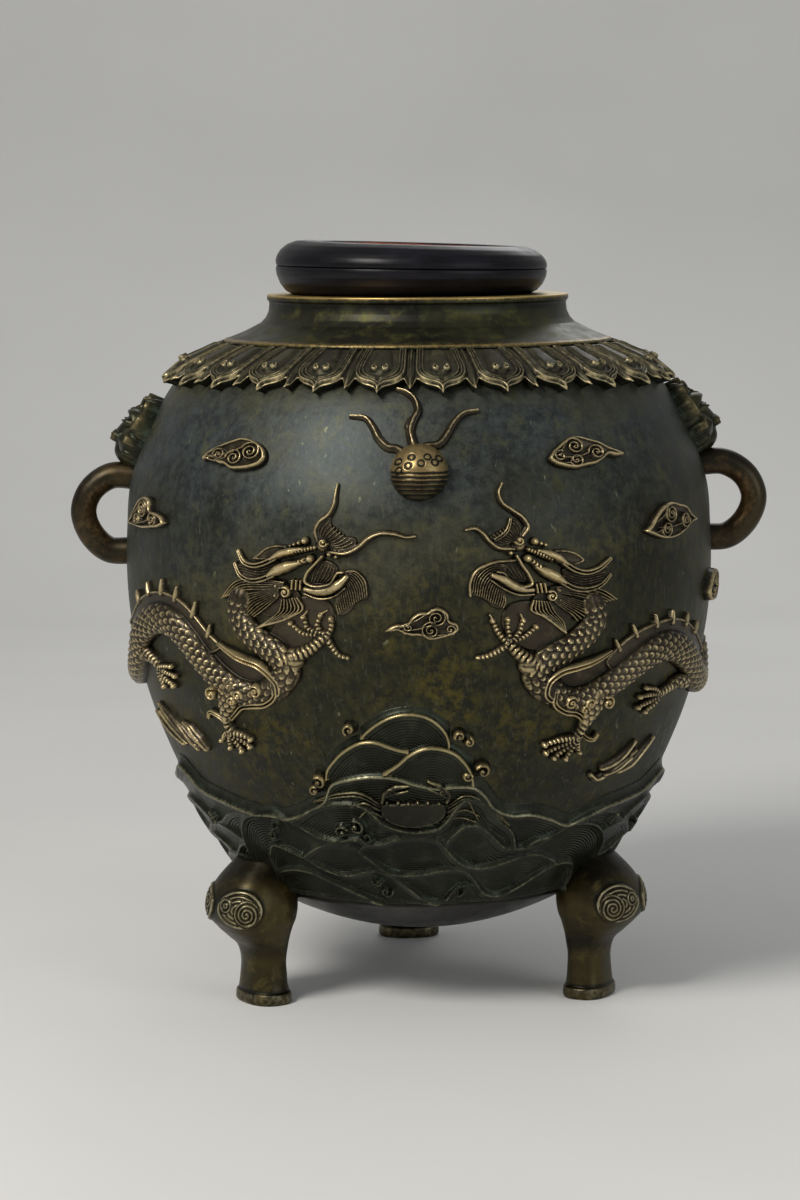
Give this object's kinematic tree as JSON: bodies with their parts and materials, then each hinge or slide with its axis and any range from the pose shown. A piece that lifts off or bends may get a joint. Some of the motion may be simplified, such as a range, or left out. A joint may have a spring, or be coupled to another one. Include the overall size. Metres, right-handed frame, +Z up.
{
  "type": "tripod vase",
  "caption": "Round-bellied bronze vase on hoofed feet, with loop handles under beast masks, a lotus collar, relief dragons over a band of waves, and a loose wooden ring on its mouth.",
  "frame": {"origin": "on the floor, under the middle of the part's box", "axes": "+Z up through the mouth, the decorated front faces -Y, the handles lie along X"},
  "size_m": [0.3445, 0.2965, 0.3677],
  "materials": {
    "dark_bronze": "dark green-brown patina, satin",
    "base_bronze": "near-black patina, satin",
    "relief_bronze": "olive patina, worn bright on raised edges",
    "worn_bronze": "brown patina rubbed to warm metal",
    "lacquered_wood": "black lacquer, glossy, worn red-brown at the bore"
  },
  "bodies": {
    "vase": {"body_shell": "dark_bronze", "neck": "dark_bronze", "base_bowl": "base_bronze", "lotus_collar": "relief_bronze", "wave_band": "relief_bronze", "wave_tier_upper": "relief_bronze", "wave_tier_left": "relief_bronze", "wave_tier_right": "relief_bronze", "foam_curl_upper_left": "worn_bronze", "foam_curl_upper_right": "worn_bronze", "foam_curl_lower_left": "worn_bronze", "foam_curl_lower_right": "worn_bronze", "crab": "relief_bronze", "pearl": "worn_bronze", "pearl_flame_left": "worn_bronze", "pearl_flame_middle": "worn_bronze", "pearl_flame_right": "worn_bronze", "cloud_upper_left": "relief_bronze", "cloud_upper_right": "relief_bronze", "cloud_side_left": "relief_bronze", "cloud_side_right": "relief_bronze", "cloud_flank_right": "relief_bronze", "cloud_middle": "relief_bronze", "cloud_back_left": "relief_bronze", "cloud_back_right": "relief_bronze", "cloud_back_middle": "relief_bronze", "dragon_left_head": "relief_bronze", "dragon_left_body": "relief_bronze", "dragon_left_tail": "relief_bronze", "dragon_left_foreleg": "relief_bronze", "dragon_left_hindleg": "relief_bronze", "dragon_left_sideleg": "relief_bronze", "dragon_left_wisp": "relief_bronze", "dragon_right_head": "relief_bronze", "dragon_right_body": "relief_bronze", "dragon_right_tail": "relief_bronze", "dragon_right_foreleg": "relief_bronze", "dragon_right_hindleg": "relief_bronze", "dragon_right_sideleg": "relief_bronze", "dragon_right_wisp": "relief_bronze", "foot_left": "worn_bronze", "foot_right": "worn_bronze", "foot_back": "worn_bronze", "handle_left": "worn_bronze", "handle_right": "worn_bronze", "mask_left": "relief_bronze", "mask_right": "relief_bronze"},
    "wood_ring": {"wood_ring_lower": "lacquered_wood", "wood_ring_upper": "lacquered_wood"}
  },
  "joints": [
    {"name": "ring_lift", "type": "slide", "parent": "vase", "child": "wood_ring", "axis": [0, 0, 1], "range_m": [0, 0.06]}
  ]
}
